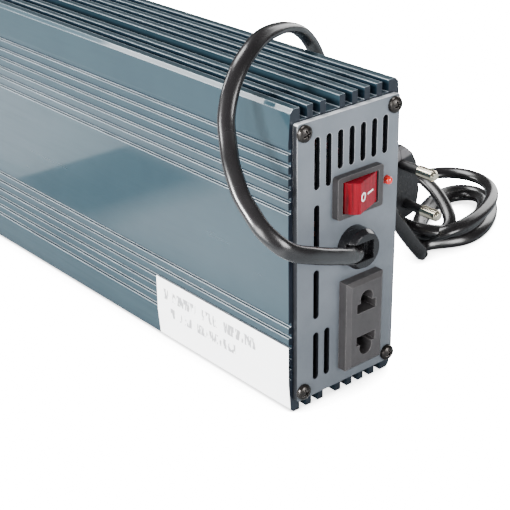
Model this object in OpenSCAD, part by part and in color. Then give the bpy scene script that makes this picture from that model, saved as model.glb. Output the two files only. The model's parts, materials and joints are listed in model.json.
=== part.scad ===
/* [Housing] */
// Length of the body over both end panels
body_len = 250; // [240:2:280]
// Height of the extruded housing, fins included
body_h = 110; // [110:1:112]
// Width of the extruded housing across its ribbed sides
body_w = 50; // [49.5:0.5:51]
// Thickness of the side walls behind the ribs
wall_t = 2.55; // [2.45:0.05:2.6]
// Depth of the grooves between the side ribs
groove_d = 1.2; // [0.8:0.1:1.2]
// Height of each groove between the side ribs
groove_w = 1.6; // [1.2:0.1:2]
// Distance from one groove to the next
groove_pitch = 4.12; // [4:0.02:4.2]
// Thickness of one cooling fin
fin_t = 2.5; // [2.2:0.1:2.8]
// Height of the cooling fins above their deck
fin_h = 4.1; // [3.6:0.1:4.1]

/* [End panels] */
// Width of each end panel
panel_w = 46; // [45.4:0.1:46.6]
// Height of each end panel
panel_h = 100.6; // [100:0.1:101]
// Thickness of each end panel
panel_t = 2; // [1.5:0.1:2.5]
// Width of a ventilation slot
slot_w = 2.5; // [2:0.1:2.8]

/* [Front fittings] */
// Across position of the rocker switch
switch_x = 3; // [2:0.1:4]
// Height of the rocker switch's centre above the base
switch_z = 76.2; // [76:0.1:77]
// Tilt of the rocker from its middle position
rocker_tilt = 20; // [12:1:20]
// Across position of the AC socket
socket_x = 5.1; // [4:0.1:6]
// Height of the AC socket's centre above the base
socket_z = 27.6; // [27:0.1:28]
// Distance between the two round pin holes of the socket
pin_pitch = 19; // [19]
// Across position of the strain relief
relief_x = 2.3; // [2:0.1:3]
// Height of the strain relief's centre above the base
relief_z = 56.5; // [56:0.1:57]

/* [Rear fittings] */
// Height of the fan's centre above the base
fan_z = 78; // [76:1:78]
// Height of the positive terminal above the base
red_z = 40; // [38:1:42]
// Height of the negative terminal above the base
black_z = 17; // [15:1:18]
// Radius of a terminal stud
stud_r = 2.5; // [2:0.5:2.5]

/* [Mains cord] */
// Width of the flat two-core cord
cord_w = 5.8; // [5.8]
// Thickness of the flat two-core cord
cord_t = 3.8; // [3.8]

/* [Hidden] */

$fn = 48;
eps = 0.01;

// Colours
paint_body = "#6f8a96";
paint_panel = "#aeb8bf";
black_plastic = "#1d1d1f";
grey_plastic = "#4a494b";

// How far the strain relief stands out in front and the terminals stand out behind
relief_out = 6.6;
rear_out = 20;
// The origin is under the middle of the body and its fittings
front_y = relief_out - (body_len + relief_out + rear_out) / 2;
mid_z = body_h / 2;

// Housing section
half_w = body_w / 2;
band_lean = 0.9;
edge_bevel = 1.2;
groove_first = 20.6;
groove_count = 6;
groove_last = groove_first + (groove_count - 1) * groove_pitch;
deck_t = 2.3;
deck_z = body_h - fin_h;
cavity_x = half_w - wall_t;
cavity_z0 = fin_h + deck_t;
cavity_z1 = body_h - cavity_z0;
fin_pitch = 5.6;
gap_w = fin_pitch - fin_t;
right_gap_x = 17.95;
left_gap_x = -12.95;
wide_gap_x = -5.9;
wide_gap_w = 6;
screw_x = 20.3;
screw_dz = 47;
port_r = 3;
port_bore_r = 1.5;

// Slots of the front panel
slot_pitch = 5.15;
slot_x0 = -14.4;
long_slot = 18.2;
short_slot = 13.6;
slot_row = 23.5;
slot_top = mid_z + 1.5 * slot_row + long_slot / 2;

// Rocker switch
bezel_w = 21;
bezel_h = 15;
bezel_out = 2.7;
switch_open_w = 16.6;
switch_open_h = 11.4;
switch_body_w = 19;
switch_body_h = 12.8;
switch_depth = 15;
pivot_y = 0.4;
rocker_r = 8.05;
rocker_flat = 5.2;
rocker_h = 11;
rocker_back = 2.5;
pivot_r = 1;

// Indicator lamp
led_x = 17.7;
led_z = 76;
led_r = 1.5;

// Strain relief
relief_r = 7.2;
relief_neck_r = 6.1;

// AC socket
socket_w = 17.4;
socket_h = 33.8;
socket_out = 4.6;
socket_bevel = 1.6;
socket_rim = 1.1;
socket_body_w = 14.6;
socket_body_h = 31;
socket_depth = 18;
hole_r = 3;
blade_w = 9;
blade_h = 3.6;
blade_shift = 3.15;

// Fan
fan_size = 40;
fan_t = 10;
fan_bore = 19;
fan_hub = 9;
fan_screw = 16;
blade_count = 7;

// Terminals
knob_r = 7.2;
knob_len = 13;
base_r = 7.6;
base_out = 5;
washer_r = 6;
washer_t = 1.2;
gap_moving = 0.3;

// Main circuit board
board_t = 1.6;
board_x = -14.3;
board_y0 = 26;
board_y1 = body_len - panel_t - fan_t - 8;
pad_t = 0.3;
device_t = 4.5;
input_device_y = [150, 166, 182, 198, 118, 134];
bridge_device_y = [60, 76, 92, 108];

// Hank of wound cord
hank_x = 132;
hank_y = 71.5;
hank_turn = 20;
hank_half = 18;
hank_out_r = 21;
hank_in_r = 12.5;
hank_h = 14.5;

// Plug
plug_x = 94.5;
plug_z = 33.3;
plug_face = 62.5;
plug_roll = -10;
plug_len = 34;
plug_high = 34;
plug_wide = 17;
pin_r = 2.4;
pin_len = 19;
sleeve_len = 10;
sleeve_r = 2.1;
core_r = 1.6;
plug_relief_len = 21.8;

// Cord route from inside the strain relief, over the body and down to the hank on the floor,
// measured from the middle of the front panel's foot line
CORD_ROUTE = [[relief_x, 6, relief_z], [relief_x, -2, relief_z], [2, -5.5, 55.5], [-2.5, -7.5, 56.5],
    [-8, -9, 58.5], [-13.5, -10.5, 61], [-22, -12.5, 64.5], [-30, -14, 68], [-36, -14, 70.5],
    [-40.5, -13, 73.5], [-43, -10.5, 76.5], [-44.5, -7.5, 79.5], [-44.5, -3, 83], [-44, 2, 86.5],
    [-43, 6, 90.5], [-41.5, 10, 94.5], [-39.5, 13.5, 98.5], [-37, 17.5, 105], [-34.5, 19.5, 110],
    [-31.5, 21, 114.5], [-26.5, 23, 119.5], [-20, 25.5, 123], [-12, 29, 125], [-3, 32.5, 125],
    [5, 36, 123.5], [13, 39.5, 120.5], [21, 43.5, 115.5], [28, 47, 109], [34, 50, 101],
    [39.5, 52, 90.5], [45.5, 53.5, 79], [52, 54, 67], [59.5, 54, 54.5], [68, 54, 41.5],
    [76.5, 53.5, 30.5], [81, 53, 23], [85, 52, 17], [89, 50.5, 11], [93.5, 49.5, 5.5],
    [97.5, 50.5, 2.1], [99, 56, 2.1]];
// From the hank, over its far side, round on the floor and up to the plug
LEAD_ROUTE = [[119, 54, 8], [122.5, 60, 10.5], [125.5, 66, 14], [127, 73, 18], [128.5, 81, 20.5],
    [131, 90, 19.5], [136, 99, 16], [142, 108, 12], [147, 118, 8], [150, 130, 4.5], [150, 142, 3],
    [145, 152, 2.5], [136, 158, 2.5], [125, 159, 4], [115, 155, 9], [106, 147.5, 16.5], [99, 138, 24],
    [95, 128, 30], [plug_x, 118, plug_z]];

function unit(v) = v / norm(v);
function tangent(p, i) = unit(p[min(i + 1, len(p) - 1)] - p[max(i - 1, 0)]);
function carried(n, t) = unit(n - t * (n * t));
function side_vectors(p, start) = [for (i = 0, n = carried(start, tangent(p, 0)); i < len(p);
    i = i + 1, n = i < len(p) ? carried(n, tangent(p, i)) : n) n];
function ring(p, n, t, r, sides) =
    [for (k = [0:sides - 1]) p + r * (cos(360 * k / sides) * n + sin(360 * k / sides) * cross(t, n))];
function curve(a, b, c, d, t) =
    pow(1 - t, 3) * a + 3 * pow(1 - t, 2) * t * b + 3 * (1 - t) * t * t * c + pow(t, 3) * d;
function wire_path(a, b, c, d, steps) = [for (i = [0:steps]) curve(a, b, c, d, i / steps)];

// A round tube swept along a list of points
module tube(p, r, sides = 8, start = [0, 0, 1]) {
    normals = side_vectors(p, start);
    rings = [for (i = [0:len(p) - 1]) ring(p[i], normals[i], tangent(p, i), r, sides)];
    points = [for (q = rings) each q];
    last = (len(p) - 1) * sides;
    walls = [for (i = [0:len(p) - 2], k = [0:sides - 1])
        [i * sides + k, i * sides + (k + 1) % sides, (i + 1) * sides + (k + 1) % sides, (i + 1) * sides + k]];
    caps = [[for (k = [sides - 1:-1:0]) k], [for (k = [0:sides - 1]) last + k]];
    polyhedron(points, concat(walls, caps));
}

// A wire that leaves both ends along given directions
module wire(a, da, b, db, r, steps = 7) {
    tube(wire_path(a, a + da, b + db, b, steps), r, 8, [0, 0, 1]);
}

// Everything is laid out from the front panel's outer face
module placed() {
    translate([0, front_y, 0]) children();
}

// A flat outline in the X-Z plane, thickened from y to y + t
module plate(y, t) {
    translate([0, y + t, 0]) rotate([90, 0, 0]) linear_extrude(t) children();
}

// A cylinder along Y from y to y + t
module rod(x, y, z, r, t) {
    translate([x, y, z]) rotate([-90, 0, 0]) cylinder(r = r, h = t);
}

// A box given by its middle in X and Z and its start in Y
module block(x, y, z, w, t, h) {
    translate([x - w / 2, y, z - h / 2]) cube([w, t, h]);
}

module rounded(w, h, r) {
    hw = w / 2 - r;
    hh = h / 2 - r;
    union() {
        square([w, h - 2 * r], center = true);
        square([w - 2 * r, h], center = true);
        for (x = [-hw, hw], z = [-hh, hh]) translate([x, z]) circle(r);
    }
}

module side_outline() {
    z_band = groove_last + groove_pitch / 2;
    z_edge = mid_z - edge_bevel;
    x_top = half_w - band_lean;
    polygon([for (s = [[1, 1], [-1, 1], [-1, -1], [1, -1]], p = s[0] * s[1] > 0
        ? [[half_w, z_band], [x_top, z_edge], [x_top - edge_bevel, mid_z]]
        : [[x_top - edge_bevel, mid_z], [x_top, z_edge], [half_w, z_band]])
        [s[0] * p[0], mid_z + s[1] * p[1]]]);
}

module fin_gaps() {
    for (z = [deck_z, 0]) {
        for (i = [0:3]) translate([right_gap_x - i * fin_pitch - gap_w / 2, z - (z > 0 ? 0 : 1)])
            square([gap_w, fin_h + 1]);
        for (i = [0:1]) translate([left_gap_x - i * fin_pitch - gap_w / 2, z - (z > 0 ? 0 : 1)])
            square([gap_w, fin_h + 1]);
        translate([wide_gap_x - wide_gap_w / 2, z - (z > 0 ? 0 : 1)]) square([wide_gap_w, fin_h + 1]);
    }
}

module side_grooves() {
    for (x = [-half_w, half_w], s = [-1, 1], i = [0:groove_count - 1])
        translate([x, mid_z + s * (groove_first + i * groove_pitch)])
            square([2 * groove_d, groove_w], center = true);
}

module inner_rails() {
    rail_t = 1.2;
    rail_h = 2.2;
    for (z = [cavity_z0, cavity_z1 - rail_h], x = [board_x + 0.1, board_x - board_t - 0.1 - rail_t])
        translate([x, z]) square([rail_t, rail_h]);
}

module housing_section() {
    difference() {
        union() {
            difference() {
                side_outline();
                fin_gaps();
                side_grooves();
                translate([-cavity_x, cavity_z0]) square([2 * cavity_x, cavity_z1 - cavity_z0]);
            }
            for (x = [-screw_x, screw_x], s = [-1, 1]) translate([x, mid_z + s * screw_dz]) circle(port_r);
            inner_rails();
        }
        for (x = [-screw_x, screw_x], s = [-1, 1]) translate([x, mid_z + s * screw_dz]) circle(port_bore_r);
    }
}

module housing() {
    color(paint_body) placed() difference() {
        plate(panel_t, body_len - 2 * panel_t) housing_section();
        for (y = top_clamp_y) translate([0, y, cavity_z1 - 1]) cylinder(r = 1.3, h = 2.8);
        for (y = low_clamp_y) translate([0, y, cavity_z0 - 1.8]) cylinder(r = 1.3, h = 2.8);
    }
}

module slot(x, z_low, z_high) {
    r = slot_w / 2;
    translate([x, z_low + r]) circle(r);
    translate([x, z_high - r]) circle(r);
    translate([x - r, z_low + r]) square([slot_w, z_high - z_low - slot_w]);
}

module front_slots() {
    for (i = [0:1]) slot(slot_x0 + i * slot_pitch, slot_top - long_slot, slot_top);
    for (i = [2:6]) slot(slot_x0 + i * slot_pitch, slot_top - short_slot, slot_top);
    for (k = [1:3]) slot(slot_x0, slot_top - long_slot - k * slot_row, slot_top - k * slot_row);
    slot(slot_x0 + slot_pitch, slot_top - long_slot - 3 * slot_row, slot_top - 3 * slot_row);
}

module panel_screw_holes() {
    for (x = [-screw_x, screw_x], s = [-1, 1]) translate([x, mid_z + s * screw_dz]) circle(1.6);
}

module front_panel() {
    color(paint_panel) placed() plate(0, panel_t) difference() {
        translate([0, mid_z]) rounded(panel_w, panel_h, 1);
        front_slots();
        panel_screw_holes();
        translate([switch_x, switch_z]) square([switch_body_w + 0.2, switch_body_h + 0.2], center = true);
        translate([led_x, led_z]) circle(led_r + 0.1);
        translate([relief_x, relief_z]) circle(relief_neck_r + 0.1);
        translate([socket_x, socket_z]) square([socket_body_w + 0.2, socket_body_h + 0.2], center = true);
    }
}

module rear_panel() {
    color(paint_panel) placed() plate(body_len - panel_t, panel_t) difference() {
        translate([0, mid_z]) rounded(panel_w, panel_h, 1);
        panel_screw_holes();
        translate([0, fan_z]) circle(fan_bore - 0.5);
        for (x = [-fan_screw, fan_screw], z = [-fan_screw, fan_screw]) translate([x, fan_z + z]) circle(1.6);
        for (z = [red_z, black_z]) translate([0, z]) circle(4.1);
    }
}

// A pan head screw along Y: the head stands out towards -Y from y, or +Y if way is 1
module pan_screw(x, y, z, len, way = -1, head_r = 2.9) {
    translate([x, y, z]) rotate([way < 0 ? 90 : -90, 0, 0]) difference() {
        union() {
            rotate_extrude() polygon(concat([[0, 0], [head_r, 0], [head_r, 0.7]],
                [for (a = [15:15:75]) [head_r * cos(a), 0.7 + 1.5 * sin(a)]], [[0, 2.2]]));
            translate([0, 0, -len]) cylinder(r = 1.45, h = len + eps);
        }
        for (a = [0, 90]) rotate([0, 0, a + 20]) translate([-1.7, -0.35, 1]) cube([3.4, 0.7, 2]);
    }
}

module front_screws() {
    color("#3a3633") placed() for (x = [-screw_x, screw_x], s = [-1, 1])
        pan_screw(x, 0, mid_z + s * screw_dz, 12);
}

module rear_screws() {
    color("#3a3633") placed() for (x = [-screw_x, screw_x], s = [-1, 1])
        pan_screw(x, body_len, mid_z + s * screw_dz, 12, 1);
}

label_len = 74;
label_top = 26;
label_t = 0.15;
module side_label() {
    z_band = mid_z - groove_last - groove_pitch / 2;
    foot = [band_lean - half_w - 0.05, edge_bevel + 0.3];
    color("white") placed() plate(panel_t, label_len) polygon([[-half_w, label_top], [-half_w, z_band],
        foot, foot - [label_t, 0], [-half_w - label_t, z_band], [-half_w - label_t, label_top]]);
}

module switch_housing() {
    color(grey_plastic) placed() difference() {
        union() {
            plate(-bezel_out, bezel_out) translate([switch_x, switch_z]) rounded(bezel_w, bezel_h, 1);
            block(switch_x, -eps, switch_z, switch_body_w, switch_depth, switch_body_h);
        }
        block(switch_x, -bezel_out - 1, switch_z, switch_open_w, bezel_out + 1 + pivot_y + rocker_r + 0.4,
            switch_open_h);
        translate([switch_x, pivot_y, switch_z - switch_body_h / 2 - 1])
            cylinder(r = pivot_r + 0.06, h = switch_body_h + 2);
    }
}

module switch_terminals() {
    color("silver") placed() for (i = [-1:1])
        block(switch_x + 6 * i, switch_depth - 0.3, switch_z, 0.8, 8, 4.8);
}

module rocker() {
    color("#b3202b") placed() translate([switch_x, pivot_y, switch_z]) rotate([0, 0, rocker_tilt]) {
        intersection() {
            translate([0, 0, -rocker_h / 2]) cylinder(r = rocker_r, h = rocker_h);
            translate([-10, -rocker_flat, -10]) cube([20, rocker_flat + rocker_back, 20]);
        }
        pin_h = switch_body_h - 0.2;
        translate([0, 0, -pin_h / 2]) cylinder(r = pivot_r, h = pin_h);
        translate([-1.5, rocker_back - eps, -1.5]) cube([3, 3.5, 3]);
    }
}

module rocker_marks() {
    mark_t = 0.12;
    color("white") placed() translate([switch_x, pivot_y, switch_z]) rotate([0, 0, rocker_tilt]) {
        translate([-4.1, -rocker_flat, 0]) rotate([90, 0, 0]) linear_extrude(mark_t) difference() {
            circle(1.6);
            circle(1.05);
        }
        translate([-0.9, -rocker_flat - mark_t, -0.3]) cube([4.2, mark_t, 0.6]);
    }
}

module power_led() {
    color("#d8261a") placed() {
        rod(led_x, -0.9, led_z, led_r, 4.5);
        translate([led_x, -0.9, led_z]) intersection() {
            sphere(led_r);
            translate([-3, -3, -3]) cube([6, 3, 6]);
        }
        rod(led_x, 2.7, led_z, led_r + 0.4, 0.9);
        for (x = [-0.6, 0.6]) block(led_x + x, 3.5, led_z, 0.45, 8, 0.45);
    }
}

module led_clip() {
    color(black_plastic) placed() difference() {
        rod(led_x, panel_t, led_z, 3, 4.5);
        rod(led_x, panel_t - 1, led_z, led_r + 0.5, 8);
    }
}

module cord_slot(w, h) {
    r = w / 2;
    for (z = [-h / 2 + r, h / 2 - r]) translate([relief_x, relief_z + z]) circle(r);
    translate([relief_x - r, relief_z - h / 2 + r]) square([w, h - w]);
}

module strain_relief() {
    color(black_plastic) placed() difference() {
        translate([relief_x, 0, relief_z]) rotate([90, 0, 0]) rotate_extrude() polygon([[0, -12],
            [relief_neck_r - 0.6, -12], [relief_neck_r - 0.6, -9], [relief_neck_r + 0.5, -2.2],
            [relief_neck_r, -2.1], [relief_neck_r, 0], [relief_r, 0], [relief_r, relief_out - 2],
            [relief_r - 1.1, relief_out], [0, relief_out]]);
        plate(-relief_out - 1, 30) cord_slot(cord_t + 0.5, cord_w + 0.5);
        translate([relief_x - 12, -relief_out - 1, relief_z - 3.4]) cube([12, 4.2, 6.8]);
        plate(-relief_out - 1, 4.2) translate([relief_x, relief_z]) square([7, 6.8], center = true);
    }
}

module keyhole(s) {
    translate([socket_x, socket_z + s * pin_pitch / 2]) circle(hole_r);
    translate([socket_x, socket_z + s * (pin_pitch / 2 - blade_shift)]) square([blade_w, blade_h], center = true);
}

// Outline of the socket's raised plate with its sloping rim, as points across and forward
function rim_points(half) = [[-half, 0.2], [half, 0.2], [half, socket_rim - socket_out],
    [half - socket_bevel, -socket_out], [socket_bevel - half, -socket_out], [-half, socket_rim - socket_out]];

module socket_plate() {
    translate([socket_x, 0, socket_z]) intersection() {
        translate([0, 0, -socket_h]) linear_extrude(2 * socket_h) polygon(rim_points(socket_w / 2));
        translate([-socket_w, 0, 0]) rotate([90, 0, 90]) linear_extrude(2 * socket_w)
            polygon([for (p = rim_points(socket_h / 2)) [p[1], p[0]]]);
    }
}

module ac_socket() {
    chamber_r = hole_r + 0.4;
    color("#3b393b") placed() difference() {
        union() {
            difference() {
                socket_plate();
                block(socket_x, 0, socket_z, 2 * socket_w, 1, 2 * socket_h);
            }
            block(socket_x, -eps, socket_z, socket_body_w, socket_depth, socket_body_h);
        }
        for (s = [-1, 1]) {
            plate(-socket_out - 1, 10) keyhole(s);
            rod(socket_x, 5, socket_z + s * pin_pitch / 2, chamber_r, socket_depth);
        }
    }
}

module socket_contacts() {
    color("#b99a4f") placed() for (s = [-1, 1]) {
        z = socket_z + s * pin_pitch / 2;
        difference() {
            rod(socket_x, 6, z, hole_r + 0.36, 11);
            rod(socket_x, 5, z, 2.45, 10);
            block(socket_x, 5, z, 0.8, 9, 8);
        }
        block(socket_x, 17 - eps, z, 4, 7, 0.8);
    }
}

module mains_cord() {
    color(black_plastic) placed() tube(CORD_ROUTE, cord_t / 2, 8, [0, 0, 1]);
}

module cord_lead() {
    color(black_plastic) placed() tube(LEAD_ROUTE, cord_t / 2, 8, [0, 0, 1]);
}

module hank_outline(r) {
    square([2 * hank_half, 2 * r], center = true);
    for (x = [-hank_half, hank_half]) translate([x, 0]) circle(r);
}

module cord_hank() {
    color(black_plastic) placed() translate([hank_x, hank_y, 0]) rotate([0, 0, hank_turn])
        linear_extrude(hank_h) difference() {
            hank_outline(hank_out_r);
            hank_outline(hank_in_r);
        }
}

// The plug's own frame: pins point to -Y from the middle of its face
module plug_placed() {
    placed() translate([plug_x, plug_face, plug_z]) rotate([0, plug_roll, 0]) children();
}

// Face of the plug: a long hexagon that narrows towards both ends
module plug_outline() {
    w = plug_wide / 2;
    h = plug_high / 2;
    polygon([for (s = [[1, 1], [-1, 1], [-1, -1], [1, -1]], p = s[0] * s[1] > 0
        ? [[w, h - 10], [w - 1.8, h - 5], [2.6, h]] : [[2.6, h], [w - 1.8, h - 5], [w, h - 10]])
        [s[0] * p[0], s[1] * p[1]]]);
}

// Side view of the plug: deep at the face and drawn in behind the grip
module plug_side() {
    h = plug_high / 2;
    polygon([[0, -h + 1.2], [1.2, -h], [plug_len * 0.4, -h], [plug_len * 0.7, -h * 0.78],
        [plug_len, -6], [plug_len, 6], [plug_len * 0.7, h * 0.78], [plug_len * 0.4, h], [1.2, h], [0, h - 1.2]]);
}

module plug_body() {
    color(black_plastic) plug_placed() difference() {
        intersection() {
            translate([-plug_wide, 0, 0]) rotate([90, 0, 90]) linear_extrude(2 * plug_wide) plug_side();
            plate(0, plug_len) plug_outline();
        }
        for (s = [-1, 1]) rod(0, -1, s * pin_pitch / 2, core_r + 0.05, 9);
    }
}

module plug_relief() {
    color(black_plastic) plug_placed() translate([0, plug_len, 0]) rotate([-90, 0, 0]) rotate_extrude()
        polygon([[0, 0], [5, 0], [4.4, 4], [3.2, plug_relief_len], [0, plug_relief_len]]);
}

module plug_sleeves() {
    color("#242424") plug_placed() for (s = [-1, 1]) difference() {
        rod(0, -sleeve_len, s * pin_pitch / 2, sleeve_r, sleeve_len);
        rod(0, -sleeve_len - 1, s * pin_pitch / 2, core_r + 0.05, sleeve_len + 2);
    }
}

module plug_pins() {
    color("#c3ab6b") plug_placed() for (s = [-1, 1]) translate([0, 0, s * pin_pitch / 2])
        rotate([90, 0, 0]) rotate_extrude() polygon([[0, -7], [core_r, -7], [core_r, sleeve_len],
            [pin_r, sleeve_len], [pin_r, pin_len - 1.2], [pin_r - 0.9, pin_len], [0, pin_len]]);
}

fan_y = body_len - panel_t - fan_t;
module fan_frame() {
    color(black_plastic) placed() {
        difference() {
            plate(fan_y, fan_t) translate([0, fan_z]) difference() {
                rounded(fan_size, fan_size, 3);
                circle(fan_bore);
                for (x = [-fan_screw, fan_screw], z = [-fan_screw, fan_screw]) translate([x, z]) circle(1.6);
            }
        }
        rod(0, fan_y, fan_z, fan_hub, 1.5);
        for (a = [30:120:270]) translate([0, fan_y, fan_z]) rotate([0, a, 0])
            translate([fan_hub - 1, 0, -1.2]) cube([fan_bore - fan_hub + 1.5, 1.5, 2.4]);
        rod(0, fan_y, fan_z, 1, 8);
    }
}

module fan_blade(a) {
    rotate([0, a, 0]) intersection() {
        rotate([-90, 0, 0]) translate([0, 0, -4]) cylinder(r = fan_bore - 0.8, h = 8);
        rotate([40, 0, 0]) translate([fan_hub - 1.2, -0.6, -4.6]) cube([fan_bore, 1.2, 9.2]);
    }
}

module fan_rotor() {
    color("#2b2b2d") placed() translate([0, fan_y + 5.7, fan_z]) difference() {
        union() {
            rotate([-90, 0, 0]) translate([0, 0, -3.7]) cylinder(r = fan_hub, h = 7.2);
            intersection() {
                for (i = [0:blade_count - 1]) fan_blade(i * 360 / blade_count);
                rotate([-90, 0, 0]) translate([0, 0, -3.7]) cylinder(r = fan_bore, h = 7.2);
            }
        }
        rotate([-90, 0, 0]) translate([0, 0, -5]) cylinder(r = 1.06, h = 7.5);
    }
}

module fan_guard() {
    wire_r = 0.7;
    y = body_len + wire_r;
    color("silver") placed() {
        for (r = [5, 9.5, 14, 18.5]) translate([0, y, fan_z]) rotate([90, 0, 0])
            rotate_extrude() translate([r, 0]) circle(wire_r, $fn = 16);
        for (a = [45:90:315]) translate([0, y + 1.3, fan_z]) rotate([0, a, 0])
            translate([5, 0, 0]) rotate([0, 90, 0]) cylinder(r = wire_r, h = 14.6, $fn = 16);
        for (a = [45:90:315]) translate([0, 0, fan_z]) rotate([0, a, 0])
            translate([fan_screw * sqrt(2), 0, 0]) difference() {
                rod(0, body_len, 0, 3.2, 1.4);
                rod(0, body_len - 1, 0, 1.7, 4);
            }
    }
}

module fan_screws() {
    color("silver") placed() for (x = [-fan_screw, fan_screw], z = [-fan_screw, fan_screw]) {
        pan_screw(x, body_len + 1.4, fan_z + z, 16, 1);
        difference() {
            translate([x, fan_y - 2.4, fan_z + z]) rotate([-90, 0, 0]) cylinder(r = 3, h = 2.4, $fn = 6);
            rod(x, fan_y - 3, fan_z + z, 1.5, 4);
        }
    }
}

module post_base(z) {
    difference() {
        union() {
            rod(0, body_len, z, base_r, base_out);
            rod(0, body_len - panel_t, z, 4, panel_t + eps);
            rod(0, body_len - panel_t - 2, z, 7, 2);
        }
        rod(0, body_len - 10, z, stud_r + 0.05, 30);
    }
}

module red_post_base() {
    color("#b3242a") placed() post_base(red_z);
}

module black_post_base() {
    color(black_plastic) placed() post_base(black_z);
}

module terminal_studs() {
    color("#c2a25a") placed() for (z = [red_z, black_z])
        rod(0, body_len - panel_t - 13, z, stud_r, 13 + panel_t + rear_out);
}

module terminal_nuts() {
    color("#c2a25a") placed() for (z = [red_z, black_z], y = [7.4, 11.2]) difference() {
        translate([0, body_len - panel_t - y, z]) rotate([-90, 0, 0]) cylinder(r = 4.6, h = 3.4, $fn = 6);
        rod(0, body_len - panel_t - y - 1, z, stud_r + 0.02, 6);
    }
}

module terminal_lugs() {
    color("#c9c9c9") placed() for (z = [red_z, black_z]) difference() {
        union() {
            rod(0, body_len - panel_t - 3.6, z, 5.2, 1.4);
            translate([-13, body_len - panel_t - 3.6, z - 3]) cube([13, 1.4, 6]);
        }
        rod(0, body_len - panel_t - 5, z, stud_r + 0.1, 4);
    }
}

washer_y = body_len + base_out + gap_moving;
knob_y = washer_y + washer_t + gap_moving;
module clamp_washer(z) {
    difference() {
        rod(0, washer_y, z, washer_r, washer_t);
        rod(0, washer_y - 1, z, stud_r + 0.06, washer_t + 2);
    }
}

module red_clamp_washer() {
    color("#c9c9c9") placed() clamp_washer(red_z);
}

module black_clamp_washer() {
    color("#c9c9c9") placed() clamp_washer(black_z);
}

module knob(z) {
    flutes = 16;
    difference() {
        translate([0, knob_y, z]) rotate([-90, 0, 0]) rotate_extrude() polygon([[0, 0], [knob_r - 0.5, 0],
            [knob_r, 0.5], [knob_r, knob_len - 1.5], [knob_r - 1.2, knob_len], [0, knob_len]]);
        rod(0, knob_y - 1, z, stud_r + 0.06, knob_len + 5);
        for (i = [0:flutes - 1]) rod((knob_r + 0.45) * cos(360 * i / flutes), knob_y + 2,
            z + (knob_r + 0.45) * sin(360 * i / flutes), 0.8, knob_len);
    }
}

module red_knob() {
    color("#b3242a") placed() knob(red_z);
}

module black_knob() {
    color(black_plastic) placed() knob(black_z);
}

module main_board() {
    color("#2f6b3c") placed() translate([board_x - board_t, board_y0, cavity_z0 + 0.3])
        cube([board_t, board_y1 - board_y0, cavity_z1 - cavity_z0 - 0.6]);
}

control_y = 104;
module control_board() {
    color("#2f6b3c") placed() translate([board_x, control_y, 34]) cube([24, 1.2, 40]);
}

module control_chips() {
    color("#202124") placed() {
        for (z = [42, 56]) translate([board_x + 8, control_y - 2.6, z - 5]) cube([7, 2.6, 10]);
        translate([board_x + 8, control_y - 2.4, 64]) cube([5, 2.4, 6]);
        for (y = [66, 84]) translate([board_x, y, 90]) cube([3.2, 9.5, 6.5]);
        translate([board_x, 132, 12]) cube([3.2, 9.5, 6.5]);
    }
}

transformer_z = [37, 73];
transformer_y = 160;
transformer_x = 0;
module transformer_cores() {
    color("#3c3c3f") placed() for (z = transformer_z) translate([transformer_x, transformer_y, z]) difference() {
        cube([27, 35, 11], center = true);
        for (s = [-1, 1]) translate([0, s * 8.8, 0]) cube([19.6, 7.2, 13], center = true);
    }
}

module transformer_bobbins() {
    color("#25282b") placed() for (z = transformer_z) translate([transformer_x, transformer_y, z]) {
        difference() {
            cube([19.2, 12.4, 13.2], center = true);
            cube([21, 10.6, 11.3], center = true);
        }
        for (x = [-9.2, 9.2], s = [-1, 1]) translate([x, 0, s * 9.9]) cube([0.8, 23.6, 8.2], center = true);
        for (x = [-11.7], s = [-1, 1]) translate([x, 0, s * 10]) cube([4.9, 22, 8], center = true);
    }
}

module transformer_windings() {
    color("#b5702c") placed() for (z = transformer_z) translate([transformer_x, transformer_y, z]) difference() {
        cube([17.2, 23.4, 27], center = true);
        cube([20, 12.6, 13.4], center = true);
    }
}

module input_capacitors() {
    color("#23355e") placed() for (z = [20, 40, 60, 80]) translate([board_x, 204, z]) rotate([0, 90, 0])
        difference() {
            cylinder(r = 8, h = 26);
            translate([0, 0, 25.4]) cylinder(r = 6.6, h = 1);
            translate([0, 0, 2.5]) rotate_extrude() translate([8.4, 0]) circle(0.8, $fn = 16);
        }
}

module bus_capacitor() {
    color("#23355e") placed() translate([board_x, 124, 79]) rotate([0, 90, 0]) difference() {
        cylinder(r = 11, h = 28);
        translate([0, 0, 27.4]) cylinder(r = 9.4, h = 1);
        translate([0, 0, 2.5]) rotate_extrude() translate([11.4, 0]) circle(0.8, $fn = 16);
    }
}

// One power transistor lying with its back on the surface z = 0, legs towards -X
module transistor() {
    translate([-8, -5, 0]) cube([15.6, 10, 1.3]);
    translate([-8, -5, 0]) cube([9.2, 10, device_t]);
    for (y = [-2.54, 0, 2.54]) translate([board_x + 0.05, y - 0.4, 2.2])
        cube([-8 - board_x + 0.1, 0.8, 0.5]);
}

module input_mosfets() {
    color("#26272a") placed() for (y = input_device_y) translate([0, y, cavity_z1 - pad_t])
        mirror([0, 0, 1]) transistor();
}

module bridge_mosfets() {
    color("#26272a") placed() for (y = bridge_device_y) translate([0, y, cavity_z0 + pad_t]) transistor();
}

// A strip along the body over a row of transistors, with holes for its clamp screws
module strip(width, y0, y1, z, t, screws) {
    difference() {
        translate([-width / 2, y0, z]) cube([width, y1 - y0, t]);
        for (y = screws) translate([0, y, z - 1]) cylinder(r = 1.6, h = t + 2);
    }
}

top_row = [112, 204];
low_row = [54, 114];
top_clamp_y = [126, 158, 190];
low_clamp_y = [68, 100];
bar_t = 3;
bar_w = 8;
module insulating_pads() {
    color("#b9bcc0") placed() {
        strip(17, top_row[0], top_row[1], cavity_z1 - pad_t, pad_t, top_clamp_y);
        strip(17, low_row[0], low_row[1], cavity_z0, pad_t, low_clamp_y);
    }
}

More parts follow.
